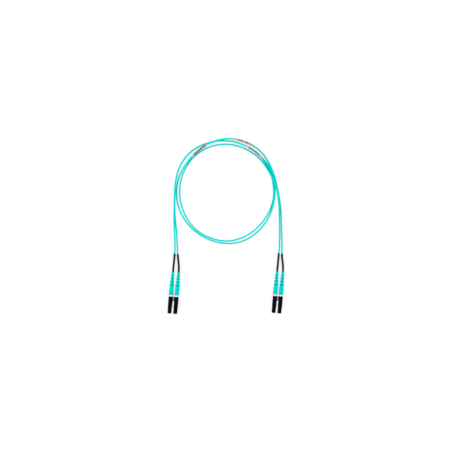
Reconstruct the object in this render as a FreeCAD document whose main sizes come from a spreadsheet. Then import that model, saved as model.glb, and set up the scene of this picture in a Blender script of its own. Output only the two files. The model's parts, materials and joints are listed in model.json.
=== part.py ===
import FreeCAD, Part
import math
import os

import Sketcher

# A duplex fibre patch cord: two strands wound in one and a half turns, with a pair of
# LC plugs on each end. All sizes are in millimetres, and the object lies on z = 0.
#
# Each plug is drawn in a frame of its own: the origin is the middle of its nose face,
# +Y runs along the ferrule's axis towards the boot, and +Z points at the latch. A size
# called a station is a distance along that +Y, so the dust cap has negative stations.

SIZES = {
    # the two duplex ends
    "plug_pitch": 6.25,
    "axis_height": 3.05,
    "lean_angle": 5.0,
    "end_spacing": 112.0,
    "end_step": 0.55,
    "first_end_left": -57.25,
    "first_end_front": -25.65,
    # ferrule and its holder
    "ferrule_radius": 0.625,
    "ferrule_tip_station": -2.1,
    "ferrule_tip_chamfer": 0.18,
    "ferrule_back_station": 5.2,
    "holder_radius": 1.4,
    "holder_front_station": 4.15,
    "holder_shoulder_station": 5.6,
    "holder_tail_radius": 0.75,
    "holder_back_station": 9.0,
    "buffer_radius": 0.45,
    "buffer_back_station": 17.0,
    # spring behind the holder
    "spring_radius": 1.13,
    "spring_wire_radius": 0.13,
    "spring_front_station": 5.76,
    "spring_back_station": 10.06,
    "spring_closed_pitch": 0.27,
    "spring_open_turns": 4,
    # plug housing
    "nose_side": 4.5,
    "nose_chamfer": 0.35,
    "housing_back_station": 14.1,
    "nose_bore_radius": 1.6,
    "nose_bore_depth": 3.2,
    "guide_bore_radius": 0.7,
    "guide_back_station": 4.0,
    "chamber_radius": 1.48,
    "snap_window_depth": 0.35,
    "snap_window_height": 1.4,
    "snap_window_front": 7.6,
    "snap_window_back": 9.4,
    # latch and trigger
    "lever_width": 2.2,
    "lever_thickness": 0.6,
    "hinge_radius": 0.3,
    "hinge_seat_radius": 0.35,
    "latch_root_front": 0.6,
    "latch_hinge_station": 1.85,
    "latch_hinge_height": 2.8,
    "latch_end_station": 8.2,
    "latch_end_height": 4.1,
    "latch_lug_width": 4.1,
    "latch_lug_front": 4.6,
    "latch_lug_back": 5.9,
    "trigger_hinge_station": 11.0,
    "trigger_hinge_height": 2.75,
    "trigger_bend_station": 9.2,
    "trigger_bend_height": 4.65,
    "trigger_tip_station": 6.2,
    "trigger_tip_height": 4.95,
    "root_top_height": 3.1,
    # back post and crimp ring
    "post_front_station": 10.2,
    "post_collar_back": 12.6,
    "post_tube_radius": 1.15,
    "post_bore_radius": 0.6,
    "post_back_station": 17.6,
    "crimp_front_station": 14.3,
    "crimp_radius": 1.55,
    "crimp_step_station": 18.0,
    "crimp_neck_radius": 1.25,
    "crimp_back_station": 20.2,
    # boot
    "boot_front_radius": 2.6,
    "boot_waist_station": 24.0,
    "boot_waist_radius": 2.5,
    "boot_back_station": 38.4,
    "boot_back_radius": 1.6,
    "boot_pocket_back": 20.4,
    "boot_bore_radius": 1.0,
    "boot_slot_width": 0.9,
    "boot_slot_pitch": 1.7,
    "boot_first_slot": 24.3,
    "boot_slot_floor": 1.4,
    # clip that joins two plugs
    "clip_front_station": 12.3,
    "clip_back_station": 14.1,
    "clip_wall": 0.8,
    "clip_web_front": 7.1,
    "clip_web_thickness": 1.6,
    "clip_web_height": 2.4,
    "clip_corner_chamfer": 0.5,
    # dust cap
    "cap_tip_station": -6.2,
    "cap_back_station": -0.1,
    "cap_radius": 2.15,
    "cap_edge": 0.55,
    "cap_skirt_radius": 1.52,
    "cap_skirt_depth": 2.8,
    "cap_bore_radius": 0.68,
    "cap_bore_station": -2.7,
    # strands and what is on them
    "strand_radius": 0.9,
    "strand_front_station": 18.2,
    "strand_exit_station": 36.4,
    "straight_out": 7.0,
    "sleeve_radius": 1.2,
    "sleeve_length": 22.0,
    "label_radius": 1.15,
    "label_length": 22.0,
    "loop_centre_across": 0.5,
    "loop_centre_along": 100.0,
}

# Share of the shorter run that each rounded corner of a strand or a coil takes up.
CORNER_SHARE = 0.45

# Corners in each turn of a coil spring, before they are rounded.
COIL_CORNERS = 8

# The strands' routes, chosen point by point. A leg is a list of (x, y, z). On the loop a
# point is (angle, radius, height) about the loop's centre, and the angle falls all the way
# because the strands run clockwise. Strand 1 lies on strand 2 over the top of the first
# turn and crosses both on its second turn; strand 2 crosses both before it leaves.
LEG_OUT_1 = [(-55.4, 29.5, 1.4), (-54.8, 42.5, 0.9), (-55.6, 56.5, 1.4), (-56.0, 71.0, 2.75)]
LEG_OUT_2 = [(-51.9, 29.5, 1.4), (-52.5, 42.5, 0.9), (-53.2, 56.5, 0.9), (-54.9, 71.0, 0.9)]
LOOP_1 = [
    (190, 56.9, 2.75), (170, 56.2, 2.75), (150, 57.9, 2.75), (130, 58.0, 2.75),
    (110, 56.2, 2.75), (90, 54.9, 2.75), (70, 53.7, 3.1), (50, 53.0, 3.6), (30, 54.0, 2.4),
    (10, 53.2, 2.2), (-10, 52.7, 2.9), (-30, 54.1, 1.0), (-50, 55.7, 0.9), (-70, 57.6, 0.9),
    (-90, 57.4, 0.9), (-110, 56.2, 0.9), (-130, 55.7, 0.9), (-150, 55.4, 0.9),
    (-170, 55.0, 0.9), (-190, 54.3, 0.9), (-210, 53.1, 1.5), (-230, 53.1, 3.0),
    (-250, 55.1, 4.9), (-270, 57.2, 4.9), (-290, 57.3, 1.8), (-310, 57.6, 0.9),
    (-330, 55.2, 0.9), (-350, 54.7, 0.9),
]
LOOP_2 = [
    (190, 56.9, 0.9), (170, 56.2, 0.9), (150, 57.9, 0.9), (130, 58.0, 0.9), (110, 56.2, 0.9),
    (90, 54.9, 0.9), (70, 53.7, 0.9), (50, 52.9, 0.9), (30, 52.2, 0.9), (10, 51.5, 0.9),
    (-10, 51.9, 0.9), (-30, 51.6, 0.9), (-50, 52.1, 0.9), (-70, 53.8, 0.9), (-90, 54.7, 0.9),
    (-110, 54.1, 0.9), (-130, 53.7, 0.9), (-150, 52.1, 0.9), (-170, 51.3, 0.9),
    (-190, 51.1, 0.9), (-210, 51.1, 0.9), (-230, 51.7, 0.9), (-250, 51.6, 0.9),
    (-270, 51.2, 0.9), (-290, 50.5, 0.9), (-310, 50.3, 0.9), (-326, 50.1, 1.4),
    (-340, 50.7, 4.3), (-354, 53.9, 4.4),
]
LEG_BACK_1 = [(58.9, 84.0, 0.9), (59.5, 71.0, 0.9), (60.0, 56.5, 0.9), (60.3, 42.5, 0.9),
              (60.1, 29.5, 1.4)]
LEG_BACK_2 = [(57.5, 84.0, 2.4), (57.4, 71.0, 1.1), (58.0, 56.5, 0.9), (57.6, 42.5, 0.9),
              (56.6, 29.5, 1.4)]

# How far along strand 1 each label starts, from the strand's first end.
LABEL_STARTS = {"label_1": 200.0, "label_2": 473.6, "label_3": 525.4}

document = FreeCAD.newDocument("duplex_patch_cord")
sheet = document.addObject("Spreadsheet::Sheet", "Sizes")
for row, (alias, value) in enumerate(SIZES.items(), start=1):
    sheet.set(f"A{row}", alias)
    sheet.set(f"B{row}", str(value))
    sheet.setAlias(f"B{row}", alias)
document.recompute()

nodes = {}


def size(alias):
    """The number that a cell of the sheet holds."""
    return float(getattr(sheet, alias))


def cell(formula):
    """A formula written with plain aliases, as an expression on the sheet."""
    words = sorted(SIZES, key=len, reverse=True)
    tokens = []
    for token in formula.split():
        sign = ""
        if token.startswith("-") and token[1:] in words:
            sign = "-"
            token = token[1:]
        tokens.append(sign + ("Sizes." + token if token in words else token))
    return " ".join(tokens)


def bind(feature, prop, formula):
    feature.setExpression(prop, cell(formula))


def keep(label, feature, placement=None):
    """File a finished sub-part under its own name."""
    feature.Label = label
    if placement is not None:
        feature.Placement = placement
    nodes[label] = feature
    return feature


# ---- PartDesign helpers ----------------------------------------------------------------

def new_body(label):
    return document.addObject("PartDesign::Body", label + "_body")


def new_sketch(body, plane):
    sketch = body.newObject("Sketcher::SketchObject", body.Name + "_sketch")
    for origin_plane in body.Origin.OriginFeatures:
        if origin_plane.Role == plane:
            sketch.AttachmentSupport = [(origin_plane, "")]
    sketch.MapMode = "FlatFace"
    return sketch


def pin_point(sketch, geometry, point, formulas):
    """Tie one point of a sketch to the sheet, across and then up."""
    for kind, axis, formula in (("DistanceX", -2, formulas[0]), ("DistanceY", -1, formulas[1])):
        value = float(sheet.evalExpression(cell(formula)))
        if value == 0:
            sketch.addConstraint(Sketcher.Constraint("PointOnObject", geometry, point, axis))
            continue
        constraint = Sketcher.Constraint(kind, -1, 1, geometry, point, value)
        index = sketch.addConstraint(constraint)
        sketch.setExpression(f"Constraints[{index}]", cell(formula))


def outline(body, plane, corners):
    """A closed outline of straight lines whose corners are formulas."""
    sketch = new_sketch(body, plane)
    places = [
        FreeCAD.Vector(*(float(sheet.evalExpression(cell(formula))) for formula in corner), 0)
        for corner in corners
    ]
    for start, end in zip(places, places[1:] + places[:1]):
        sketch.addGeometry(Part.LineSegment(start, end))
    for index in range(len(corners)):
        following = (index + 1) % len(corners)
        sketch.addConstraint(Sketcher.Constraint("Coincident", index, 2, following, 1))
        pin_point(sketch, index, 1, corners[index])
    return sketch


def disc(body, plane, centre, radius):
    """A circle whose centre and radius are formulas."""
    sketch = new_sketch(body, plane)
    place = FreeCAD.Vector(*(float(sheet.evalExpression(cell(part))) for part in centre), 0)
    start_radius = float(sheet.evalExpression(cell(radius)))
    sketch.addGeometry(Part.Circle(place, FreeCAD.Vector(0, 0, 1), start_radius))
    pin_point(sketch, 0, 3, centre)
    index = sketch.addConstraint(Sketcher.Constraint("Radius", 0, start_radius))
    sketch.setExpression(f"Constraints[{index}]", cell(radius))
    return sketch


def rectangle(left, right, low, high):
    return [(left, low), (right, low), (right, high), (left, high)]


def turn(body, profile):
    """Turn an outline of (radius, station) about the plug's axis."""
    feature = body.newObject("PartDesign::Revolution", body.Name + "_turned")
    feature.Profile = outline(body, "XY_Plane", profile)
    feature.ReferenceAxis = (feature.Profile[0], ["V_Axis"])
    feature.Angle = 360
    return feature


def extrude(kind, body, sketch, depth):
    """A pad or a pocket of the given depth, half of it on each side of the sketch."""
    feature = body.newObject("PartDesign::" + kind, body.Name + "_" + kind.lower())
    feature.Profile = sketch
    feature.SideType = "Symmetric"
    bind(feature, "Length", depth)
    return feature


def extrude_along(kind, body, sketch, depth, reverse):
    """A pad or a pocket on one side of the sketch."""
    feature = body.newObject("PartDesign::" + kind, body.Name + "_" + kind.lower())
    feature.Profile = sketch
    feature.Reversed = reverse
    bind(feature, "Length", depth)
    return feature


# ---- the pieces of one plug --------------------------------------------------------------

def make_ferrule(label, place):
    body = new_body(label)
    turn(body, [
        ("0", "ferrule_tip_station"),
        ("ferrule_radius - ferrule_tip_chamfer", "ferrule_tip_station"),
        ("ferrule_radius", "ferrule_tip_station + ferrule_tip_chamfer"),
        ("ferrule_radius", "ferrule_back_station"),
        ("0", "ferrule_back_station"),
    ])
    keep(label, body, place)


def make_ferrule_holder(label, place):
    body = new_body(label)
    turn(body, [
        ("ferrule_radius", "holder_front_station"),
        ("holder_radius", "holder_front_station"),
        ("holder_radius", "holder_shoulder_station"),
        ("holder_tail_radius", "holder_shoulder_station"),
        ("holder_tail_radius", "holder_back_station"),
        ("buffer_radius", "holder_back_station"),
        ("buffer_radius", "ferrule_back_station"),
        ("ferrule_radius", "ferrule_back_station"),
    ])
    keep(label, body, place)


def make_buffer_fibre(label, place):
    fibre = document.addObject("Part::Cylinder", label + "_cylinder")
    bind(fibre, "Radius", "buffer_radius")
    bind(fibre, "Height", "buffer_back_station - ferrule_back_station")
    keep(label, fibre, place.multiply(along_axis("ferrule_back_station")))


def coil_points():
    """Points of a coil spring along the plug's axis, with a closed turn at each end."""
    closed = size("spring_closed_pitch")
    open_turns = int(size("spring_open_turns"))
    length = size("spring_back_station") - size("spring_front_station")
    open_pitch = (length - 2 * closed) / open_turns
    pitches = [closed] + [open_pitch] * open_turns + [closed]
    radius = size("spring_radius") / math.cos(math.pi / COIL_CORNERS)
    station = size("spring_front_station")
    points = [(radius, station, 0.0)]
    for pitch in pitches:
        for corner in range(1, COIL_CORNERS + 1):
            angle = 2 * math.pi * corner / COIL_CORNERS
            station += pitch / COIL_CORNERS
            points.append((radius * math.cos(angle), station, radius * math.sin(angle)))
    return points


def make_spring(label, place):
    wire, _ = rounded_path(coil_points())
    keep(label, sweep_circle(label, wire, "spring_wire_radius"), place)


def make_housing(label, place):
    body = new_body(label)
    half = "nose_side / 2"
    square = [
        ("-1 * nose_side / 2 + nose_chamfer", "0"),
        (half + " - nose_chamfer", "0"),
        (half, "nose_chamfer"),
        (half, "housing_back_station"),
        ("-1 * nose_side / 2", "housing_back_station"),
        ("-1 * nose_side / 2", "nose_chamfer"),
    ]
    extrude("Pad", body, outline(body, "XY_Plane", square), "nose_side")
    hinge_seats = [
        ("latch_root_front", "latch_hinge_station", "latch_hinge_height"),
        ("trigger_hinge_station", "housing_back_station", "trigger_hinge_height"),
    ]
    for front, back, _ in hinge_seats:
        block = rectangle(front, back, half, "root_top_height")
        extrude("Pad", body, outline(body, "YZ_Plane", block), "lever_width")
    for front, back, height in hinge_seats:
        station = back if front == "latch_root_front" else front
        seat = disc(body, "YZ_Plane", (station, height), "hinge_seat_radius")
        extrude("Pocket", body, seat, "lever_width")
    for radius, depth in (
        ("nose_bore_radius", "nose_bore_depth"),
        ("guide_bore_radius", "guide_back_station"),
    ):
        bore = disc(body, "XZ_Plane", ("0", "0"), radius)
        extrude_along("Pocket", body, bore, depth, False)
    chamber = body.newObject("PartDesign::Groove", label + "_chamber")
    chamber.Profile = outline(body, "XY_Plane", rectangle(
        "0", "chamber_radius", "guide_back_station", "housing_back_station"))
    chamber.ReferenceAxis = (chamber.Profile[0], ["V_Axis"])
    chamber.Angle = 360
    for side in ("", "-1 * "):
        inner = side + "( nose_side / 2 - snap_window_depth )"
        outer = side + "nose_side / 2"
        window = rectangle(inner, outer, "snap_window_front", "snap_window_back")
        extrude("Pocket", body, outline(body, "XY_Plane", window), "snap_window_height")
    keep(label, body, place)


def make_latch(label, place):
    body = new_body(label)
    half = "lever_thickness / 2"
    arm = [
        ("latch_hinge_station", "latch_hinge_height - " + half),
        ("latch_end_station", "latch_end_height - " + half),
        ("latch_end_station", "latch_end_height + " + half),
        ("latch_hinge_station", "latch_hinge_height + " + half),
    ]
    extrude("Pad", body, outline(body, "YZ_Plane", arm), "lever_width")
    barrel = disc(body, "YZ_Plane", ("latch_hinge_station", "latch_hinge_height"), "hinge_radius")
    extrude("Pad", body, barrel, "lever_width")
    slope = "( latch_end_height - latch_hinge_height ) / ( latch_end_station - latch_hinge_station )"
    lug = []
    for station, side in (("latch_lug_front", " - "), ("latch_lug_back", " - "),
                          ("latch_lug_back", " + "), ("latch_lug_front", " + ")):
        middle = f"latch_hinge_height + ( {station} - latch_hinge_station ) * {slope}"
        lug.append((station, middle + side + half))
    extrude("Pad", body, outline(body, "YZ_Plane", lug), "latch_lug_width")
    keep(label, body, place)


def make_trigger(label, place):
    body = new_body(label)
    arm = [
        ("trigger_hinge_station", "trigger_hinge_height - hinge_radius"),
        ("trigger_bend_station", "trigger_bend_height"),
        ("trigger_tip_station", "trigger_tip_height"),
        ("trigger_tip_station", "trigger_tip_height + lever_thickness"),
        ("trigger_bend_station + lever_thickness / 2", "trigger_bend_height + lever_thickness"),
        ("trigger_hinge_station", "trigger_hinge_height + hinge_radius"),
    ]
    extrude("Pad", body, outline(body, "YZ_Plane", arm), "lever_width")
    barrel = disc(body, "YZ_Plane", ("trigger_hinge_station", "trigger_hinge_height"),
                  "hinge_radius")
    extrude("Pad", body, barrel, "lever_width")
    keep(label, body, place)


def make_back_post(label, place):
    body = new_body(label)
    turn(body, [
        ("post_bore_radius", "post_front_station"),
        ("chamber_radius", "post_front_station"),
        ("chamber_radius", "post_collar_back"),
        ("post_tube_radius", "post_collar_back"),
        ("post_tube_radius", "post_back_station"),
        ("post_bore_radius", "post_back_station"),
    ])
    keep(label, body, place)


def make_crimp_ring(label, place):
    body = new_body(label)
    turn(body, [
        ("post_tube_radius", "crimp_front_station"),
        ("crimp_radius", "crimp_front_station"),
        ("crimp_radius", "crimp_step_station"),
        ("crimp_neck_radius", "crimp_step_station"),
        ("crimp_neck_radius", "crimp_back_station"),
        ("strand_radius", "crimp_back_station"),
        ("strand_radius", "crimp_step_station"),
        ("post_tube_radius", "crimp_step_station"),
    ])
    keep(label, body, place)


def make_boot(label, place):
    body = new_body(label)
    turn(body, [
        ("crimp_radius", "clip_back_station"),
        ("boot_front_radius", "clip_back_station"),
        ("boot_waist_radius", "boot_waist_station"),
        ("boot_back_radius", "boot_back_station"),
        ("sleeve_radius", "boot_back_station"),
        ("sleeve_radius", "strand_exit_station"),
        ("boot_bore_radius", "strand_exit_station"),
        ("boot_bore_radius", "boot_pocket_back"),
        ("crimp_radius", "boot_pocket_back"),
    ])
    slots = int((size("strand_exit_station") - size("boot_first_slot")) / size("boot_slot_pitch"))
    for number in range(slots):
        front = f"boot_first_slot + {number} * boot_slot_pitch"
        back = front + " + boot_slot_width"
        for side in ("", "-1 * "):
            across = (side + "boot_slot_floor", side + "boot_front_radius")
            if number % 2:
                plane, slot = "XY_Plane", rectangle(*across, front, back)
            else:
                plane, slot = "YZ_Plane", rectangle(front, back, *across)
            extrude("Pocket", body, outline(body, plane, slot), "2 * boot_front_radius")
    keep(label, body, place)


def make_dust_cap(label, place):
    body = new_body(label)
    turn(body, [
        ("0", "cap_tip_station"),
        ("cap_radius - cap_edge", "cap_tip_station"),
        ("cap_radius", "cap_tip_station + cap_edge"),
        ("cap_radius", "cap_back_station"),
        ("cap_skirt_radius", "cap_back_station"),
        ("cap_skirt_radius", "cap_skirt_depth"),
        ("cap_bore_radius", "cap_skirt_depth"),
        ("cap_bore_radius", "cap_bore_station"),
        ("0", "cap_bore_station"),
    ])
    keep(label, body, place)


PLUG_PIECES = {
    "ferrule": make_ferrule,
    "ferrule_holder": make_ferrule_holder,
    "buffer_fibre": make_buffer_fibre,
    "spring": make_spring,
    "housing": make_housing,
    "latch": make_latch,
    "trigger": make_trigger,
    "back_post": make_back_post,
    "crimp_ring": make_crimp_ring,
    "boot": make_boot,
    "dust_cap": make_dust_cap,
}


def make_clip(label, place):
    """The clip holds two plugs side by side, with a web between their housings."""
    body = new_body(label)
    half_width = "( plug_pitch / 2 + nose_side / 2 + clip_wall )"
    right = (half_width, half_width + " - clip_corner_chamfer")
    left = tuple(f"-1 * {half_width}{inset}" for inset in ("", " + clip_corner_chamfer"))
    low = ("-1 * nose_side / 2 - clip_wall",
           "-1 * nose_side / 2 - clip_wall + clip_corner_chamfer")
    high = ("root_top_height + clip_wall", "root_top_height + clip_wall - clip_corner_chamfer")
    band = [(left[1], low[0]), (right[1], low[0]), (right[0], low[1]), (right[0], high[1]),
            (right[1], high[0]), (left[1], high[0]), (left[0], high[1]), (left[0], low[1])]
    extrude_along("Pad", body, outline(body, "XZ_Plane", band), "clip_back_station", True)
    relief = rectangle("-2 * " + half_width, "2 * " + half_width,
                       "-1 * clip_front_station", "clip_front_station")
    extrude("Pocket", body, outline(body, "XY_Plane", relief), "4 * " + half_width)
    web = rectangle("-1 * clip_web_thickness / 2", "clip_web_thickness / 2",
                    "clip_web_front", "clip_back_station")
    extrude("Pad", body, outline(body, "XY_Plane", web), "clip_web_height")
    for side in (-1, 1):
        centre = f"{side} * plug_pitch / 2"
        for half, low, high in (
            ("nose_side / 2", "-1 * nose_side / 2", "nose_side / 2"),
            ("lever_width / 2", "0", "root_top_height"),
        ):
            hole = rectangle(f"{centre} - {half}", f"{centre} + {half}", low, high)
            extrude_along("Pocket", body, outline(body, "XZ_Plane", hole),
                          "clip_back_station", False)
    keep(label, body, place)


# ---- placing the plugs -------------------------------------------------------------------

def along_axis(station):
    """A placement that stands a +Z primitive at a station, along the plug's +Y."""
    lay_down = FreeCAD.Rotation(FreeCAD.Vector(1, 0, 0), -90)
    return FreeCAD.Placement(FreeCAD.Vector(0, size(station), 0), lay_down)


def end_placement(end):
    """Where the middle of a duplex end is: end 0 is on the left, end 1 on the right."""
    corner = FreeCAD.Vector(
        size("first_end_left") + end * size("end_spacing"),
        size("first_end_front") + end * size("end_step"),
        size("axis_height"),
    )
    lean = FreeCAD.Rotation(FreeCAD.Vector(0, 0, 1), -size("lean_angle"))
    return FreeCAD.Placement(corner, lean)


def plug_placement(end, side):
    """Where a plug is: side -1 is the left one of its pair, and side 1 the right one."""
    shift = FreeCAD.Vector(side * size("plug_pitch") / 2, 0, 0)
    return end_placement(end).multiply(FreeCAD.Placement(shift, FreeCAD.Rotation()))


# ---- strands and what is on them ---------------------------------------------------------

def loop_points(rows):
    """Points of the loop, from (angle, radius, height) to (x, y, z)."""
    across = size("loop_centre_across")
    along = size("loop_centre_along")
    return [
        (
            across + radius * math.cos(math.radians(angle)),
            along + radius * math.sin(math.radians(angle)),
            height,
        )
        for angle, radius, height in rows
    ]


def exit_points(end, side):
    """A strand's end in its boot, and the point that it runs straight out to."""
    place = plug_placement(end, side)
    stations = (size("strand_exit_station"),
                size("strand_exit_station") + size("straight_out"))
    return [tuple(place.multVec(FreeCAD.Vector(0, station, 0))) for station in stations]


def rounded_path(points):
    """Straight runs joined by tangent arcs, as one wire, and the arcs' radii."""
    corners = [FreeCAD.Vector(*point) for point in points]
    edges = []
    radii = []
    start = corners[0]
    for before, corner, after in zip(corners, corners[1:], corners[2:]):
        back = before - corner
        ahead = after - corner
        cut = CORNER_SHARE * min(back.Length, ahead.Length)
        half_turn = (math.pi - back.getAngle(ahead)) / 2
        radius = cut / math.tan(half_turn)
        enter = corner + back.normalize() * cut
        leave = corner + ahead.normalize() * cut
        middle_depth = radius / math.cos(half_turn) - radius
        middle = corner + (back + ahead).normalize() * middle_depth
        edges.append(Part.LineSegment(start, enter).toShape())
        edges.append(Part.Arc(enter, middle, leave).toShape())
        radii.append(radius)
        start = leave
    edges.append(Part.LineSegment(start, corners[-1]).toShape())
    return Part.Wire(edges), radii


def stretch(wire, start, length):
    """The stretch of a wire that begins at one length along it and goes on for another."""
    edges = []
    passed = 0.0
    for edge in wire.OrderedEdges:
        low = max(start - passed, 0.0)
        high = min(start + length - passed, edge.Length)
        if high > low:
            edges.append(edge.Curve.toShape(edge.getParameterByLength(low),
                                            edge.getParameterByLength(high)))
        passed += edge.Length
    return Part.Wire(edges)


def sweep_circle(label, wire, radius):
    """A round solid along a wire; the radius is a formula."""
    path = document.addObject("Part::Feature", label + "_path")
    path.Shape = wire
    section = document.addObject("Part::Circle", label + "_section")
    bind(section, "Radius", radius)
    first = wire.OrderedEdges[0]
    direction = first.tangentAt(first.FirstParameter)
    turned = FreeCAD.Rotation(FreeCAD.Vector(0, 0, 1), direction)
    section.Placement = FreeCAD.Placement(first.valueAt(first.FirstParameter), turned)
    solid = document.addObject("Part::Sweep", label + "_round")
    solid.Sections = [section]
    solid.Spine = (path, [])
    solid.Solid = True
    return solid


def make_strand(label, points, ends):
    """A strand: its free route, and a straight stub up to the crimp ring at each end."""
    wire, radii = rounded_path(points)
    free = sweep_circle(label, wire, "strand_radius")
    stubs = []
    for place in ends:
        stub = document.addObject("Part::Cylinder", label + "_stub")
        bind(stub, "Radius", "strand_radius")
        bind(stub, "Height", "strand_exit_station - strand_front_station")
        stub.Placement = place.multiply(along_axis("strand_front_station"))
        stubs.append(stub)
    strand = document.addObject("Part::MultiFuse", label + "_fuse")
    strand.Shapes = [free] + stubs
    keep(label, strand)
    return wire, radii, free


def make_covering(label, wire, radius):
    """A tube around a stretch of strand, such as a sleeve or a label."""
    outside = sweep_circle(label + "_outside", wire, radius)
    inside = sweep_circle(label + "_inside", wire, "strand_radius")
    covering = document.addObject("Part::Cut", label + "_tube")
    covering.Base = outside
    covering.Tool = inside
    keep(label, covering)


# ---- the whole object --------------------------------------------------------------------

END_NAMES = ("a", "b")
for end, end_name in enumerate(END_NAMES):
    make_clip(f"clip_{end_name}", end_placement(end))
    for number, side in ((1, -1), (2, 1)):
        for piece, make_piece in PLUG_PIECES.items():
            make_piece(f"{piece}_{end_name}{number}", plug_placement(end, side))

routes = {
    "strand_1": (LEG_OUT_1 + loop_points(LOOP_1) + LEG_BACK_1, -1, 1),
    "strand_2": (LEG_OUT_2 + loop_points(LOOP_2) + LEG_BACK_2, 1, -1),
}
strands = {}
for label, (middle_points, first_side, last_side) in routes.items():
    points = exit_points(0, first_side) + middle_points + exit_points(1, last_side)[::-1]
    ends = (plug_placement(0, first_side), plug_placement(1, last_side))
    wire, radii, free = make_strand(label, points, ends)
    strands[label] = (wire, radii, free)
    first_plug = "a1" if first_side < 0 else "a2"
    last_plug = "b1" if last_side < 0 else "b2"
    sleeve = size("sleeve_length")
    make_covering(f"sleeve_{first_plug}", stretch(wire, 0.0, sleeve), "sleeve_radius")
    make_covering(f"sleeve_{last_plug}", stretch(wire, wire.Length - sleeve, sleeve),
                  "sleeve_radius")
for label, start in LABEL_STARTS.items():
    wire = strands["strand_1"][0]
    make_covering(label, stretch(wire, start, size("label_length")), "label_radius")

document.recompute()

for feature in document.Objects:
    if "Invalid" in feature.State or "Error" in feature.State:
        raise RuntimeError(f"{feature.Label} failed: {feature.State}")
for label, (wire, radii, free) in strands.items():
    expected = math.pi * size("strand_radius") ** 2 * wire.Length
    print(f"{label}: length {wire.Length:.1f} mm, volume {free.Shape.Volume:.1f} of "
          f"{expected:.1f} mm3, radii {', '.join(f'{radius:.0f}' for radius in radii)}")
    if abs(free.Shape.Volume - expected) > 0.005 * expected:
        raise RuntimeError(f"{label} has the wrong volume")

os.makedirs("parts", exist_ok=True)
for label, feature in nodes.items():
    shape = feature.Shape
    if shape.isNull() or not shape.isValid() or len(shape.Solids) != 1:
        raise RuntimeError(f"{label} is not one valid solid")
    shape.exportStep(f"parts/{label}.step")
print(f"{len(nodes)} sub-parts written")
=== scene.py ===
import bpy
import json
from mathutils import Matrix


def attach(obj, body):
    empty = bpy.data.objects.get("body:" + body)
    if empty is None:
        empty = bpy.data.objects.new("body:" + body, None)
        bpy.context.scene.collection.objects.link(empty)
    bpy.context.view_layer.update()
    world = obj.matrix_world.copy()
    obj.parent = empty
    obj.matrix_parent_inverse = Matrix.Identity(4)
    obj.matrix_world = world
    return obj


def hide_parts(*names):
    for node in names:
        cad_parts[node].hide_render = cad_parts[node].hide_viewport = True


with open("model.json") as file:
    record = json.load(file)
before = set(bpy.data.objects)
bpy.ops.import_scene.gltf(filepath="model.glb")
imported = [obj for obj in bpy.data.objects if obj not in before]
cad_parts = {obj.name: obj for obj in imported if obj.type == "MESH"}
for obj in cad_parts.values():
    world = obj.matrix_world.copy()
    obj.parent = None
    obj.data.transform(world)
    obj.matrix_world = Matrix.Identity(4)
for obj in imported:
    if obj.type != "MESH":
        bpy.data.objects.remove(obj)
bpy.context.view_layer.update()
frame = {"record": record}

import json
import math
from bisect import bisect_right
from itertools import accumulate

import bpy
from mathutils import Matrix, Vector, noise

# A duplex fibre patch cord that lies on a table. World lengths are in metres. The pieces of
# a plug are built in millimetres in the plug's own frame: x goes across the plug, y is the
# station behind the nose face, and z points at the latch.

MM = 0.001
UP = Vector((0, 0, 1))
MOUNTS = {mount["name"]: mount for mount in frame["record"]["mounts"]}


# ---- camera --------------------------------------------------------------------------------

# It looks straight down, and sees VIEW_WIDTH of the table.
LENS = 85.0
SENSOR = 36.0
VIEW_WIDTH = 0.4905
VIEW_CENTRE = (0.0016, 0.0608)

camera_data = bpy.data.cameras.new("camera")
camera_data.lens = LENS
camera_data.sensor_width = SENSOR
camera = bpy.data.objects.new("camera", camera_data)
camera.location = (*VIEW_CENTRE, VIEW_WIDTH * LENS / SENSOR)
bpy.context.scene.collection.objects.link(camera)
bpy.context.scene.camera = camera


# ---- where the plugs are -------------------------------------------------------------------

# Stations and lengths in millimetres, as in the CAD source.
PLUG_PITCH = 6.25
BOOT_BACK = 38.4
STRAND_START = 36.4
STRAIGHT_OUT = 7.0


def end_matrix(end, side):
    """From the frame of a plug, or of the pair's middle for side 0, to the world."""
    mount = MOUNTS[f"duplex_plug_{end}"]
    back = -Vector(mount["axis"]).normalized()
    across = back.cross(UP)
    turn = Matrix((across, back, UP)).transposed()
    place = Vector(mount["pos_m"]) + across * side * PLUG_PITCH / 2 * MM
    return Matrix.Translation(place) @ turn.to_4x4() @ Matrix.Scale(MM, 4)


PLUGS = {f"{end}{number}": end_matrix(end, side)
         for end in "ab" for number, side in ((1, -1), (2, 1))}
PAIRS = {end: end_matrix(end, 0) for end in "ab"}


def on_axis(plug, station):
    """The world place of a point on a plug's axis."""
    return PLUGS[plug] @ Vector((0, station, 0))


# ---- strands -------------------------------------------------------------------------------

STRAND_DIAMETER = 0.0018
LOOP_CENTRE = (0.0005, 0.1)

# Heights of a strand that lies on the table, and of one that lies on another strand.
LOW = STRAND_DIAMETER / 2
STACKED = 0.00275

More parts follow.
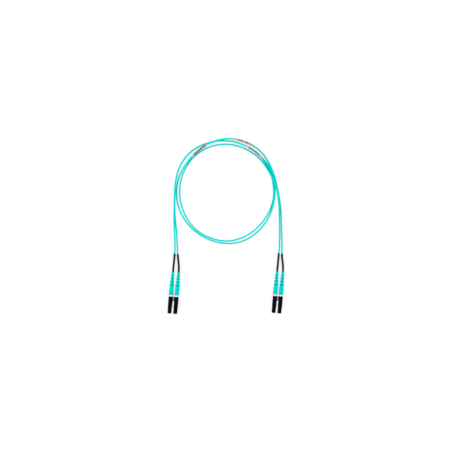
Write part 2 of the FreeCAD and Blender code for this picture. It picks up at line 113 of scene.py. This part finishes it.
# The strands' routes, as in the CAD source but in metres. A leg is a list of (x, y, z), and
# a point of the loop is (angle, radius, height) about the loop's centre.
LEG_OUT_1 = [(-0.0554, 0.0295, 0.0014), (-0.0548, 0.0425, LOW), (-0.0556, 0.0565, 0.0014),
             (-0.0560, 0.0710, STACKED)]
LEG_OUT_2 = [(-0.0519, 0.0295, 0.0014), (-0.0525, 0.0425, LOW), (-0.0532, 0.0565, LOW),
             (-0.0549, 0.0710, LOW)]
LOOP_1 = [
    (190, 0.0569, STACKED), (170, 0.0562, STACKED), (150, 0.0579, STACKED),
    (130, 0.0580, STACKED), (110, 0.0562, STACKED), (90, 0.0549, STACKED),
    (70, 0.0537, 0.0031), (50, 0.0530, 0.0036), (30, 0.0540, 0.0024), (10, 0.0532, 0.0022),
    (-10, 0.0527, 0.0029), (-30, 0.0541, 0.0010), (-50, 0.0557, LOW),
    (-70, 0.0576, LOW), (-90, 0.0574, LOW), (-110, 0.0562, LOW),
    (-130, 0.0557, LOW), (-150, 0.0554, LOW), (-170, 0.0550, LOW),
    (-190, 0.0543, LOW), (-210, 0.0531, 0.0015), (-230, 0.0531, 0.0030),
    (-250, 0.0551, 0.0049), (-270, 0.0572, 0.0049), (-290, 0.0573, 0.0018),
    (-310, 0.0576, LOW), (-330, 0.0552, LOW), (-350, 0.0547, LOW),
]
LOOP_2 = [
    (190, 0.0569, LOW), (170, 0.0562, LOW), (150, 0.0579, LOW),
    (130, 0.0580, LOW), (110, 0.0562, LOW), (90, 0.0549, LOW), (70, 0.0537, LOW),
    (50, 0.0529, LOW), (30, 0.0522, LOW), (10, 0.0515, LOW), (-10, 0.0519, LOW),
    (-30, 0.0516, LOW), (-50, 0.0521, LOW), (-70, 0.0538, LOW),
    (-90, 0.0547, LOW), (-110, 0.0541, LOW), (-130, 0.0537, LOW),
    (-150, 0.0521, LOW), (-170, 0.0513, LOW), (-190, 0.0511, LOW),
    (-210, 0.0511, LOW), (-230, 0.0517, LOW), (-250, 0.0516, LOW),
    (-270, 0.0512, LOW), (-290, 0.0505, LOW), (-310, 0.0503, LOW),
    (-326, 0.0501, 0.0014), (-340, 0.0507, 0.0043), (-354, 0.0539, 0.0044),
]
LEG_BACK_1 = [(0.0589, 0.0840, LOW), (0.0595, 0.0710, LOW), (0.0600, 0.0565, LOW),
              (0.0603, 0.0425, LOW), (0.0601, 0.0295, 0.0014)]
LEG_BACK_2 = [(0.0575, 0.0840, 0.0024), (0.0574, 0.0710, 0.0011), (0.0580, 0.0565, LOW),
              (0.0576, 0.0425, LOW), (0.0566, 0.0295, 0.0014)]


def exit_points(plug):
    """A strand's end in its boot, and the point that it runs straight out to."""
    return [on_axis(plug, STRAND_START), on_axis(plug, STRAND_START + STRAIGHT_OUT)]


def loop_points(rows):
    return [
        (
            LOOP_CENTRE[0] + radius * math.cos(math.radians(angle)),
            LOOP_CENTRE[1] + radius * math.sin(math.radians(angle)),
            height,
        )
        for angle, radius, height in rows
    ]


def make_strand(name, points):
    """A strand as a smooth curve whose control points are its route."""
    data = bpy.data.curves.new(name, "CURVE")
    data.dimensions = "3D"
    data.bevel_depth = STRAND_DIAMETER / 2
    data.bevel_resolution = 8
    data.resolution_u = 16
    data.use_fill_caps = True
    spline = data.splines.new("NURBS")
    spline.points.add(len(points) - 1)
    for place, point in zip(spline.points, points):
        place.co = (*point, 1)
    spline.order_u = 3
    spline.use_endpoint_u = True
    strand = bpy.data.objects.new(name, data)
    bpy.context.scene.collection.objects.link(strand)
    return strand


def centre_line(strand):
    """The points that a strand's smooth curve runs through."""
    bare = strand.data.copy()
    bare.bevel_depth = 0
    holder = bpy.data.objects.new("bare_line", bare)
    points = [vertex.co.copy() for vertex in bpy.data.meshes.new_from_object(holder).vertices]
    bpy.data.objects.remove(holder)
    return points


strand_1 = make_strand("strand_1_jacket", exit_points("a1") + LEG_OUT_1 + loop_points(LOOP_1)
                       + LEG_BACK_1 + exit_points("b2")[::-1])
strand_2 = make_strand("strand_2_jacket", exit_points("a2") + LEG_OUT_2 + loop_points(LOOP_2)
                       + LEG_BACK_2 + exit_points("b1")[::-1])
line_1 = centre_line(strand_1)
line_2 = centre_line(strand_2)


# ---- materials -----------------------------------------------------------------------------

WHITE = (1, 1, 1)


def new_material(name, roughness, metallic=0.0, specular=0.5, gloss_tint=WHITE):
    material = bpy.data.materials.new(name)
    material.use_nodes = True
    shader = material.node_tree.nodes["Principled BSDF"]
    shader.inputs["Roughness"].default_value = roughness
    shader.inputs["Metallic"].default_value = metallic
    shader.inputs["Specular IOR Level"].default_value = specular
    shader.inputs["Specular Tint"].default_value = (*gloss_tint, 1)
    return material


def add_node(material, kind, **values):
    """A node of a material or the world. Values go to its sockets, or else its properties."""
    node = material.node_tree.nodes.new(kind)
    for name, value in values.items():
        socket = name.replace("_", " ").title()
        if socket in node.inputs:
            node.inputs[socket].default_value = value
        else:
            setattr(node, name, value)
    return node


def join(material, source, target):
    material.node_tree.links.new(source, target)


def shader_input(material, name):
    return material.node_tree.nodes["Principled BSDF"].inputs[name]


def add_noise(material, scale, detail=2.0, stretch=(1, 1, 1)):
    """A noise texture on the piece's own coordinates. Its scale is in waves per metre."""
    place = add_node(material, "ShaderNodeTexCoord")
    mapping = add_node(material, "ShaderNodeMapping", scale=stretch)
    texture = add_node(material, "ShaderNodeTexNoise", scale=scale, detail=detail)
    join(material, place.outputs["Object"], mapping.inputs["Vector"])
    join(material, mapping.outputs["Vector"], texture.inputs["Vector"])
    return texture


def add_ramp(material, factor, stops):
    """A colour ramp with (place, (r, g, b)) stops."""
    ramp = add_node(material, "ShaderNodeValToRGB")
    elements = ramp.color_ramp.elements
    while len(elements) < len(stops):
        elements.new(0.5)
    for element, (place, colour) in zip(elements, stops):
        element.position = place
        element.color = (*colour, 1)
    join(material, factor, ramp.inputs["Fac"])
    return ramp


def colour_by_noise(material, low, high, scale):
    """Base colour that drifts between two close colours."""
    texture = add_noise(material, scale, detail=3.0)
    ramp = add_ramp(material, texture.outputs["Fac"], [(0.3, low), (0.7, high)])
    join(material, ramp.outputs["Color"], shader_input(material, "Base Color"))


def roughness_by_noise(material, low, high, scale):
    """Roughness that drifts, as handling polishes some spots."""
    texture = add_noise(material, scale)
    spread = add_node(material, "ShaderNodeMapRange", to_min=low, to_max=high)
    join(material, texture.outputs["Fac"], spread.inputs["Value"])
    join(material, spread.outputs["Result"], shader_input(material, "Roughness"))


def bump_by_noise(material, scale, height, detail=2.0, stretch=(1, 1, 1)):
    """Surface relief of a given height in metres."""
    texture = add_noise(material, scale, detail, stretch)
    bump = add_node(material, "ShaderNodeBump", strength=1.0, distance=height)
    join(material, texture.outputs["Fac"], bump.inputs["Height"])
    join(material, bump.outputs["Normal"], shader_input(material, "Normal"))


def colour_by_product(material, first, second):
    """Base colour as the product of two colour outputs."""
    blend = add_node(material, "ShaderNodeMix", data_type="RGBA", blend_type="MULTIPLY")
    share, one, other = (blend.inputs[index] for index in (0, 6, 7))
    share.default_value = 1.0
    join(material, first, one)
    join(material, second, other)
    join(material, blend.outputs[2], shader_input(material, "Base Color"))


def paint_recess_shade(material, shade):
    """Painted shade in recesses: multiply the base colour by a darker shade where the mesh's
    recess attribute is 1.
    """
    depth = add_node(material, "ShaderNodeAttribute", attribute_name="recess")
    tint = add_ramp(material, depth.outputs["Fac"], [(0.0, WHITE), (1.0, shade)])
    plain = shader_input(material, "Base Color").links[0].from_socket
    colour_by_product(material, plain, tint.outputs["Color"])


def moulded(name, low, high, roughness, grain=3500, height=0.00001, specular=0.5,
            gloss_tint=WHITE):
    """Moulded or extruded plastic: a close colour drift, fine grain and handled spots."""
    material = new_material(name, roughness, specular=specular, gloss_tint=gloss_tint)
    colour_by_noise(material, low, high, 180)
    roughness_by_noise(material, roughness - 0.06, roughness + 0.06, 700)
    bump_by_noise(material, grain, height)
    return material


def metal(name, low, high, roughness):
    """Turned or drawn metal: fine marks round the plug's axis."""
    material = new_material(name, roughness, metallic=1.0)
    colour_by_noise(material, low, high, 600)
    bump_by_noise(material, 2500, 0.000004, stretch=(1, 6, 1))
    return material


BLUE_GLOSS = (0.5, 0.66, 0.85)
AQUA_GLOSS = (0.1, 1.0, 1.0)

aqua_jacket = moulded("aqua_jacket", (0.001, 0.66, 0.62), (0.002, 0.71, 0.67), 0.5,
                      grain=2600, height=0.00002, specular=0.12, gloss_tint=AQUA_GLOSS)
aqua_boot = moulded("aqua_boot", (0.001, 0.62, 0.60), (0.002, 0.67, 0.65), 0.55,
                    grain=4200, height=0.00001, specular=0.12, gloss_tint=AQUA_GLOSS)
# Painted shade in the boot's flex slots, darker the deeper a point lies.
paint_recess_shade(aqua_boot, (0.2, 0.4, 0.4))
black_plastic = moulded("black_plastic", (0.001, 0.003, 0.005), (0.003, 0.005, 0.007), 0.42,
                        grain=5200, height=0.000012, specular=0.06, gloss_tint=BLUE_GLOSS)
black_cap = moulded("black_cap", (0.001, 0.002, 0.004), (0.002, 0.004, 0.006), 0.5,
                    grain=3800, height=0.00002, specular=0.06, gloss_tint=BLUE_GLOSS)
white_plastic = moulded("white_plastic", (0.74, 0.75, 0.75), (0.79, 0.80, 0.80), 0.4,
                        grain=5200, height=0.000008)
buffer_white = moulded("buffer_white", (0.70, 0.71, 0.71), (0.74, 0.75, 0.75), 0.35)
zirconia = moulded("zirconia", (0.78, 0.77, 0.74), (0.82, 0.81, 0.78), 0.12,
                   grain=9000, height=0.000001)
steel = metal("steel", (0.52, 0.52, 0.53), (0.60, 0.60, 0.61), 0.32)
plated_brass = metal("plated_brass", (0.62, 0.57, 0.45), (0.70, 0.65, 0.52), 0.3)

shrink_sleeve = new_material("shrink_sleeve", 0.55, specular=0.12)
colour_by_noise(shrink_sleeve, (0.020, 0.018, 0.018), (0.034, 0.030, 0.029), 900)
roughness_by_noise(shrink_sleeve, 0.48, 0.66, 1400)
bump_by_noise(shrink_sleeve, 1500, 0.00006, detail=4.0)


def printed_film(name, bands, seed):
    """Label film with coloured bands along it and rows of small plain marks."""
    material = new_material(name, 0.35, specular=0.2)
    place = add_node(material, "ShaderNodeTexCoord")
    split = add_node(material, "ShaderNodeSeparateXYZ")
    join(material, place.outputs["UV"], split.inputs["Vector"])
    film = add_ramp(material, split.outputs["X"], bands)
    mapping = add_node(material, "ShaderNodeMapping", scale=(30, 7, 1), location=(seed, 0, 0))
    marks = add_node(material, "ShaderNodeTexBrick", scale=1.0, bias=0.0, mortar_size=0.12,
                     brick_width=0.9, row_height=1.0)
    ink = (0.14, 0.13, 0.15)
    for socket, colour in (("Color1", WHITE), ("Color2", ink), ("Mortar", WHITE)):
        marks.inputs[socket].default_value = (*colour, 1)
    join(material, place.outputs["UV"], mapping.inputs["Vector"])
    join(material, mapping.outputs["Vector"], marks.inputs["Vector"])
    colour_by_product(material, film.outputs["Color"], marks.outputs["Color"])
    return material


CREAM = (0.66, 0.60, 0.50)
LAVENDER = (0.50, 0.56, 0.76)
PALE = (0.66, 0.68, 0.70)
DUSK = (0.21, 0.25, 0.34)
UMBER = (0.20, 0.20, 0.18)
ORANGE = (0.66, 0.50, 0.37)
ROSE = (0.70, 0.44, 0.46)
MAUVE = (0.40, 0.32, 0.36)
OLIVE = (0.30, 0.37, 0.34)
HAZE = (0.32, 0.40, 0.46)
LABEL_BANDS = {
    "label_1": [(0.0, CREAM), (0.07, CREAM), (0.15, DUSK), (0.26, HAZE), (0.35, HAZE),
                (0.43, MAUVE), (0.52, DUSK), (0.64, OLIVE), (0.72, OLIVE), (0.80, ORANGE),
                (0.88, PALE), (1.0, LAVENDER)],
    "label_2": [(0.0, LAVENDER), (0.08, CREAM), (0.14, CREAM), (0.20, UMBER), (0.36, OLIVE),
                (0.46, UMBER), (0.54, DUSK), (0.64, UMBER), (0.72, OLIVE), (0.84, UMBER),
                (0.92, CREAM), (1.0, PALE)],
    "label_3": [(0.0, PALE), (0.08, CREAM), (0.17, ORANGE), (0.27, OLIVE), (0.40, OLIVE),
                (0.50, CREAM), (0.62, UMBER), (0.74, ROSE), (0.88, ROSE), (0.94, PALE),
                (1.0, PALE)],
}


# ---- mesh helpers --------------------------------------------------------------------------

SHARP = math.radians(38)


def mesh_piece(name, places, faces):
    mesh = bpy.data.meshes.new(name)
    mesh.from_pydata(places, [], faces)
    mesh.update()
    piece = bpy.data.objects.new(name, mesh)
    bpy.context.scene.collection.objects.link(piece)
    return piece


def smooth(piece):
    piece.data.shade_smooth()
    piece.data.set_sharp_from_angle(angle=SHARP)
    return piece


def apply_modifiers(piece):
    bpy.context.view_layer.update()
    graph = bpy.context.evaluated_depsgraph_get()
    final = bpy.data.meshes.new_from_object(piece.evaluated_get(graph))
    piece.modifiers.clear()
    piece.data = final
    return piece


def bevel(piece, width, segments=2):
    modifier = piece.modifiers.new("bevel", "BEVEL")
    modifier.width = width
    modifier.segments = segments
    modifier.limit_method = "ANGLE"
    modifier.angle_limit = math.radians(30)
    return apply_modifiers(piece)


def combine(piece, operation, others):
    """Add or cut away other pieces, which are used up."""
    for other in others:
        modifier = piece.modifiers.new("combine", "BOOLEAN")
        modifier.operation = operation
        modifier.solver = "EXACT"
        modifier.object = other
        apply_modifiers(piece)
        bpy.data.objects.remove(other)
    return piece


def skin(name, rings, closed=False):
    """Faces between rings of the same number of points. Ends are filled unless closed."""
    count = len(rings[0])
    places = [place for ring in rings for place in ring]
    pairs = [(i, i + 1) for i in range(len(rings) - 1)] + ([(len(rings) - 1, 0)] if closed else [])
    faces = []
    for near, far in pairs:
        for step in range(count):
            following = (step + 1) % count
            faces.append((near * count + step, near * count + following,
                          far * count + following, far * count + step))
    if not closed:
        faces.append(tuple(range(count))[::-1])
        faces.append(tuple((len(rings) - 1) * count + step for step in range(count)))
    return mesh_piece(name, places, faces)


def arc(centre, radius, start, end, steps):
    """Points of an arc, with its angles in degrees."""
    angles = [math.radians(start + (end - start) * i / steps) for i in range(steps + 1)]
    return [(centre[0] + radius * math.cos(a), centre[1] + radius * math.sin(a)) for a in angles]


def box(low, high):
    """A box between two corners."""
    corners = ((0, 0), (1, 0), (1, 1), (0, 1))
    pick = (low, high)
    rings = [[(pick[a][0], pick[end][1], pick[b][2]) for a, b in corners] for end in (1, 0)]
    return skin("box", rings)


def prism(outline, width):
    """A side view of (station, height) points, made as wide as asked across the plug."""
    rings = [[(x, station, height) for station, height in outline]
             for x in (-width / 2, width / 2)]
    return skin("prism", rings)


def rounded_rectangle(half_width, low, high, radius):
    """Points (x, z) round a rectangle with rounded corners."""
    corners = ((half_width - radius, high - radius, 0), (radius - half_width, high - radius, 90),
               (radius - half_width, low + radius, 180), (half_width - radius, low + radius, 270))
    return [point for x, z, start in corners
            for point in arc((x, z), radius, start, start + 90, 6)]


def loft(sections):
    """A solid through (station, outline of (x, z)) sections, in falling station."""
    return skin("loft", [[(x, station, z) for x, z in outline] for station, outline in sections])


def lathe(profile, steps, radius_at=None):
    """Turn a closed outline of (radius, station) about the plug's axis.

    radius_at may give another radius from (radius, station, angle), and the angle is
    measured from the top.
    """
    rings = []
    for radius, station in profile:
        ring = []
        for step in range(steps):
            angle = 2 * math.pi * step / steps
            here = radius_at(radius, station, angle) if radius_at else radius
            ring.append((here * math.sin(angle), station, here * math.cos(angle)))
        rings.append(ring)
    return skin("lathe", rings, closed=profile[0][0] > 0 and profile[-1][0] > 0)


# ---- pieces ----------------------------------------------------------------------------------

def finish_piece(piece, node, body, material):
    """Give a piece its material, attach it to the body that it rides on, and hide the named CAD
    node.
    """
    piece.data.materials.clear()
    piece.data.materials.append(material)
    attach(piece, body)
    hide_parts(node)


def place_copies(master, stem, matrices, suffix, rides, material):
    """Put a piece made in a plug's frame in every place, instead of the CAD node there.

    A copy rides on the body with its own name, or else on the root.
    """
    smooth(master)
    for where, matrix in matrices.items():
        mesh = master.data.copy()
        mesh.transform(matrix)
        piece = bpy.data.objects.new(f"{stem}_{where}_{suffix}", mesh)
        bpy.context.scene.collection.objects.link(piece)
        body = f"{stem}_{where}" if rides else "root"
        finish_piece(piece, f"{stem}_{where}", body, material)
    bpy.data.objects.remove(master)


# Sizes that the pieces of a plug share.
HOUSING_HALF = 2.25
HOUSING_BACK = 14.1
LEVER_WIDTH = 2.2
ROOT_TOP = 3.1
LATCH_HINGE = (1.85, 2.8)
TRIGGER_HINGE = (11.0, 2.75)
SEAT_RADIUS = 0.35
BARREL_RADIUS = 0.3
SKIRT_BORE = 1.6
GUIDE_BORE = 0.7
CHAMBER_BORE = 1.48


def make_housing():
    """A square nose with a stepped bore, side windows and a root for each lever."""
    sections = [
        (HOUSING_BACK, 0.10), (14.0, 0.0), (10.45, 0.0), (10.37, 0.12), (10.17, 0.12),
        (10.09, 0.0), (0.42, 0.0), (0.10, 0.22), (0.0, 0.34),
    ]
    body = loft([
        (station, rounded_rectangle(HOUSING_HALF - inset, inset - HOUSING_HALF,
                                    HOUSING_HALF - inset, 0.3))
        for station, inset in sections
    ])
    latch_root = prism([(0.55, 2.0), (0.75, 3.0), (0.85, ROOT_TOP), (1.85, ROOT_TOP),
                        (1.85, 2.0)], LEVER_WIDTH)
    trigger_root = prism([(11.0, 2.0), (11.0, ROOT_TOP), (14.05, ROOT_TOP), (14.05, 2.0)],
                         LEVER_WIDTH)
    combine(body, "UNION", [bevel(latch_root, 0.08), bevel(trigger_root, 0.08)])
    seats = [prism(arc(hinge, SEAT_RADIUS, 0, 345, 23), 3.0)
             for hinge in (LATCH_HINGE, TRIGGER_HINGE)]
    windows = [bevel(box((side * 2.3 - 0.4, 7.6, -0.7), (side * 2.3 + 0.4, 9.4, 0.7)), 0.12)
               for side in (-1, 1)]
    bore = lathe([(0, 14.3), (CHAMBER_BORE, 14.3), (CHAMBER_BORE, 4.0), (GUIDE_BORE, 4.0),
                  (GUIDE_BORE, 3.2), (SKIRT_BORE, 3.2), (SKIRT_BORE, 0.16), (1.78, -0.02),
                  (1.78, -0.3), (0, -0.3)], steps=48)
    return combine(body, "DIFFERENCE", seats + windows + [bore])


def make_latch():
    """A sloping arm with lugs that catch in the adapter and a stiffening rib on top."""
    hinge_station, hinge_height = LATCH_HINGE
    slope = (4.1 - hinge_height) / (8.2 - hinge_station)

    def at(station, above):
        """A point so far above the arm's middle."""
        return (station, hinge_height + (station - hinge_station) * slope + above)

    tip = arc(at(7.95, 0), BARREL_RADIUS, 100, -80, 8)
    barrel = arc(LATCH_HINGE, BARREL_RADIUS, 281, 101, 12)
    arm = bevel(prism(tip + barrel, LEVER_WIDTH), 0.1)
    lug = prism([at(4.6, -0.28), at(5.9, -0.28), at(5.9, 0.28), at(5.15, 0.28), at(4.6, 0)], 4.1)
    rib = prism([at(2.6, 0.1), at(7.4, 0.1), at(7.15, 0.46), at(2.85, 0.46)], 0.7)
    return combine(arm, "UNION", [bevel(lug, 0.09), bevel(rib, 0.06)])


def make_trigger():
    """A lever that leans forward over the latch, with grip ridges on top."""
    def top(station):
        return 5.55 - (station - 6.2) * 0.3 / 3.3

    ridges = []
    for number in range(4):
        station = 6.75 + 0.55 * number
        ridges += [(station, top(station)), (station + 0.06, top(station) - 0.13),
                   (station + 0.22, top(station) - 0.15), (station + 0.28, top(station + 0.28))]
    tip = arc((6.45, 5.24), 0.27, 275, 95, 8)
    barrel = arc(TRIGGER_HINGE, BARREL_RADIUS, 20, -140, 12)
    outline = tip[::-1] + [(9.2, 4.66), (9.45, 4.5)] + barrel[::-1] + [(9.75, 5.08), (9.45, 5.24)]
    outline += ridges[::-1]
    return bevel(prism(outline, LEVER_WIDTH), 0.06)


BOOT_FRONT = 14.1
BOOT_WAIST = 24.0
FRONT_RADIUS = 2.6
WAIST_RADIUS = 2.5
BACK_RADIUS = 1.6
FIRST_SLOT = 24.3
SLOT_PITCH = 1.7
SLOT_COUNT = 7
SLOT_WIDTH = 0.92
SLOT_FLOOR = 1.4
STRAND_BORE = 1.0
POST_BORE = 1.55


def make_boot():
    """A tapered boot with flex slots cut in turn from top and bottom and from both sides."""
    slots = [(FIRST_SLOT + SLOT_PITCH * number, number % 2) for number in range(SLOT_COUNT)]
    rim = [(0.0, 0.0), (0.10, 0.10), (0.16, 0.5), (0.20, 1.0)]
    stations = {}
    for front, _ in slots:
        for offset, share in rim:
            stations[front + offset - 0.02] = share
            stations[front + SLOT_WIDTH - offset] = share

    def outer(station):
        if station < BOOT_WAIST:
            share = (station - BOOT_FRONT) / (BOOT_WAIST - BOOT_FRONT)
            return FRONT_RADIUS + share * (WAIST_RADIUS - FRONT_RADIUS)
        share = (station - BOOT_WAIST) / (BOOT_BACK - BOOT_WAIST)
        return WAIST_RADIUS + share * (BACK_RADIUS - WAIST_RADIUS)

    def radius_at(radius, station, angle):
        cut = stations.get(station, 0.0)
        if not cut:
            return radius
        side = next(kind for front, kind in slots if front - 0.1 < station < front + 1.0)
        facing = abs(math.sin(angle) if side else math.cos(angle))
        floor = min(radius, SLOT_FLOOR / max(facing, 0.01))
        return radius + (floor - radius) * cut

    wall = [(2.42, BOOT_FRONT), (2.55, 14.16), (2.59, 14.3)]
    wall += [(outer(station), station) for station in (15.3, 15.4)]
    wall += [(outer(15.5) - 0.1, 15.5), (outer(15.8) - 0.1, 15.8)]
    wall += [(outer(station), station) for station in (15.9, 18.0, 21.0, 23.0, BOOT_WAIST)]
    wall += [(outer(station), station) for station in sorted(stations)]
    wall += [(outer(station), station) for station in (STRAND_START, 37.6, 38.1)]
    wall += [(1.56, 38.32), (1.47, BOOT_BACK), (1.2, BOOT_BACK), (1.2, STRAND_START),
             (STRAND_BORE, STRAND_START), (STRAND_BORE, 20.4), (POST_BORE, 20.4),
             (POST_BORE, BOOT_FRONT)]
    boot = lathe(wall, steps=96, radius_at=radius_at)
    # How far each point in the slot zone lies below the outer surface, from 0 to 1. The boot's
    # material paints shade by it.
    recess = boot.data.attributes.new("recess", "FLOAT", "POINT")
    for vertex, depth in zip(boot.data.vertices, recess.data):
        radius = math.hypot(vertex.co.x, vertex.co.z)
        if radius > SLOT_FLOOR - 0.05 and FIRST_SLOT < vertex.co.y < STRAND_START:
            depth.value = min(1.0, (outer(vertex.co.y) - radius) / 0.6)
    return boot


CAP_RADIUS = 2.15
CAP_SKIRT = 1.52
CAP_BORE = 0.68
CAP_RIBS = 18
RIBS_FRONT = -5.25
RIBS_BACK = -1.7


def make_dust_cap():
    """A ribbed cap whose skirt fits the nose bore round the ferrule."""
    def radius_at(radius, station, angle):
        if radius < 1.9 or not RIBS_FRONT <= station <= RIBS_BACK:
            return radius
        return radius - 0.11 * (0.5 + 0.5 * math.cos(CAP_RIBS * angle)) ** 2

    tip = [(1.6 + 0.55 * math.sin(turn), -5.65 - 0.55 * math.cos(turn))
           for turn in (math.radians(15 * step) for step in range(7))]
    wall = [(0, -6.12), (0.9, -6.12), (1.0, -6.2)] + tip
    wall += [(CAP_RADIUS, station) for station in (-5.3, RIBS_FRONT, RIBS_BACK, -1.65, -1.5)]
    wall += [(2.03, -1.42), (2.03, -1.2), (CAP_RADIUS, -1.12), (CAP_RADIUS, -0.22), (2.05, -0.1),
             (CAP_SKIRT, -0.1), (CAP_SKIRT, 2.55), (1.38, 2.8), (0.75, 2.8), (CAP_BORE, 2.7),
             (CAP_BORE, -2.7), (0, -2.7)]
    return lathe(wall, steps=144, radius_at=radius_at)


CLIP_BASE = -3.05
CLIP_TOP = 3.9


def make_clip():
    """A band round both housings, with a web between them and a seam on top."""
    half = PLUG_PITCH / 2 + HOUSING_HALF + 0.8
    band = loft([
        (station, rounded_rectangle(half - inset, CLIP_BASE + inset * 0.2, CLIP_TOP - inset, 0.55))
        for station, inset in ((14.1, 0.14), (13.98, 0.0), (13.7, 0.0), (13.62, 0.09),
                               (12.78, 0.09), (12.7, 0.0), (12.42, 0.0), (12.3, 0.14))
    ])
    web = bevel(box((-0.8, 7.1, -1.2), (0.8, 13.0, 1.2)), 0.15, segments=3)
    combine(band, "UNION", [web])
    holes = []
    for centre in (-PLUG_PITCH / 2, PLUG_PITCH / 2):
        for half_width, low, high in ((HOUSING_HALF, -HOUSING_HALF, HOUSING_HALF),
                                      (LEVER_WIDTH / 2, 2.0, ROOT_TOP)):
            holes.append(box((centre - half_width, 11.0, low), (centre + half_width, 15.0, high)))
    seam = box((-0.09, 11.0, 3.72), (0.09, 15.0, 4.2))
    return combine(band, "DIFFERENCE", holes + [seam])


place_copies(make_housing(), "housing", PLUGS, "moulded", False, black_plastic)
place_copies(make_latch(), "latch", PLUGS, "moulded", True, black_plastic)
place_copies(make_trigger(), "trigger", PLUGS, "moulded", True, black_plastic)
place_copies(make_boot(), "boot", PLUGS, "moulded", False, aqua_boot)
place_copies(make_dust_cap(), "dust_cap", PLUGS, "moulded", True, black_cap)
place_copies(make_clip(), "clip", PAIRS, "moulded", False, white_plastic)

# The small parts inside a plug keep their CAD meshes, with these materials.
for stem, material in (("ferrule", zirconia), ("ferrule_holder", steel), ("spring", steel),
                       ("back_post", steel), ("crimp_ring", plated_brass),
                       ("buffer_fibre", buffer_white)):
    for plug in PLUGS:
        for place in bpy.data.objects[f"{stem}_{plug}"].material_slots:
            place.material = material


# ---- sleeves and labels on the strands -------------------------------------------------------

SLEEVE_LENGTH = 0.022
SLEEVE_RADIUS = 0.0012
LABEL_LENGTH = 0.022
LABEL_RADIUS = 0.00115
LABEL_STARTS = {"label_1": 0.2000, "label_2": 0.4736, "label_3": 0.5254}


def sample_line(points, start, length, count):
    """Evenly spaced points over one stretch of a line."""
    runs = [(after - before).length for before, after in zip(points, points[1:])]
    passed = [0.0, *accumulate(runs)]
    found = []
    for step in range(count):
        distance = start + length * step / (count - 1)
        index = min(bisect_right(passed, distance) - 1, len(runs) - 1)
        share = (distance - passed[index]) / runs[index]
        found.append(points[index].lerp(points[index + 1], share))
    return found


def tube_along(name, line, steps, radius_at, inner_radius):
    """A tube round a line. radius_at gives its radius from the share along and the angle."""
    count = len(line)
    rings = []
    for index, point in enumerate(line):
        ahead = (line[min(index + 1, count - 1)] - line[max(index - 1, 0)]).normalized()
        side = ahead.cross(UP).normalized()
        top = side.cross(ahead)
        angles = [2 * math.pi * step / steps for step in range(steps)]
        around = [side * math.sin(angle) + top * math.cos(angle) for angle in angles]
        share = index / (count - 1)
        outer = [point + way * radius_at(share, angle) for way, angle in zip(around, angles)]
        inner = [point + way * inner_radius for way in around]
        rings.append((outer, inner))
    loop = [outer for outer, _ in rings] + [inner for _, inner in reversed(rings)]
    tube = skin(name, loop, closed=True)
    spread = tube.data.uv_layers.new(name="along")
    for corner in tube.data.loops:
        ring, step = divmod(corner.vertex_index, steps)
        along = min(ring, 2 * count - 1 - ring) / (count - 1)
        spread.data[corner.index].uv = (along, step / steps)
    return smooth(tube)


def sleeve_radius(seed):
    """Shrunk tube: soft ripples, and it draws in at its free end."""
    def radius_at(share, angle):
        place = Vector((share * 9 + seed * 7.3, math.sin(angle) * 0.8, math.cos(angle) * 0.8))
        ripple = 0.00005 * noise.noise(place)
        tuck = 0.00016 * max(0.0, (share - 0.965) / 0.035) ** 2
        return SLEEVE_RADIUS - 0.00003 + ripple - tuck
    return radius_at


def label_radius(seed):
    """Wrapped film with a lap where its edge lies on itself."""
    def radius_at(share, angle):
        turned = (angle - 2.2 - seed) % (2 * math.pi)
        return LABEL_RADIUS - (0.0 if turned < 1.0 else 0.00007)
    return radius_at


pieces_on = {strand_1: [], strand_2: []}
for seed, (plug, strand, line) in enumerate((
        ("a1", strand_1, line_1), ("a2", strand_2, line_2),
        ("b1", strand_2, line_2[::-1]), ("b2", strand_1, line_1[::-1]))):
    sleeve = tube_along(f"sleeve_{plug}_shrunk", sample_line(line, 0.0, SLEEVE_LENGTH, 90), 40,
                        sleeve_radius(seed), STRAND_DIAMETER / 2)
    finish_piece(sleeve, f"sleeve_{plug}", "root", shrink_sleeve)
    pieces_on[strand].append(sleeve)

for seed, (name, start) in enumerate(LABEL_STARTS.items()):
    label = tube_along(f"{name}_film", sample_line(line_1, start, LABEL_LENGTH, 60), 64,
                       label_radius(seed), STRAND_DIAMETER / 2)
    film = printed_film(f"{name}_film", LABEL_BANDS[name], seed)
    finish_piece(label, name, "root", film)
    pieces_on[strand_1].append(label)

for strand, node, plug, line in ((strand_1, "strand_1", "a1", line_1),
                                 (strand_2, "strand_2", "a2", line_2)):
    finish_piece(strand, node, "root", aqua_jacket)


# ---- table and light ---------------------------------------------------------------------------

table = box((-2.0, -2.0, -0.01), (2.0, 2.0, 0.0))
table.name = "table"
table_top = new_material("table_top", 0.9, specular=0.0)
colour_by_noise(table_top, (0.24, 0.24, 0.24), (0.26, 0.26, 0.26), 8)
shader_input(table_top, "Emission Color").default_value = (*WHITE, 1)
shader_input(table_top, "Emission Strength").default_value = 0.79
table.data.materials.append(table_top)

# The light comes from the sides, and little from straight above, as round a camera stand.
studio = bpy.data.worlds.new("studio")
studio.use_nodes = True
background = studio.node_tree.nodes["Background"]
background.inputs["Strength"].default_value = 1.15
direction = add_node(studio, "ShaderNodeTexCoord")
height = add_node(studio, "ShaderNodeSeparateXYZ")
join(studio, direction.outputs["Generated"], height.inputs["Vector"])
shade = add_ramp(studio, height.outputs["Z"], [(0.72, WHITE), (0.92, (0.12, 0.12, 0.12))])
join(studio, shade.outputs["Color"], background.inputs["Color"])
bpy.context.scene.world = studio


def add_softbox(name, place, width, power):
    data = bpy.data.lights.new(name, "AREA")
    data.shape = "SQUARE"
    data.size = width
    data.energy = power
    light = bpy.data.objects.new(name, data)
    light.location = place
    light.rotation_euler = (-Vector(place)).to_track_quat("-Z", "Y").to_euler()
    bpy.context.scene.collection.objects.link(light)


add_softbox("softbox_left", (-1.8, -0.6, 1.5), 1.2, 14)
add_softbox("softbox_right", (1.8, 0.9, 1.5), 1.2, 12)
bpy.context.scene.view_settings.view_transform = "Standard"
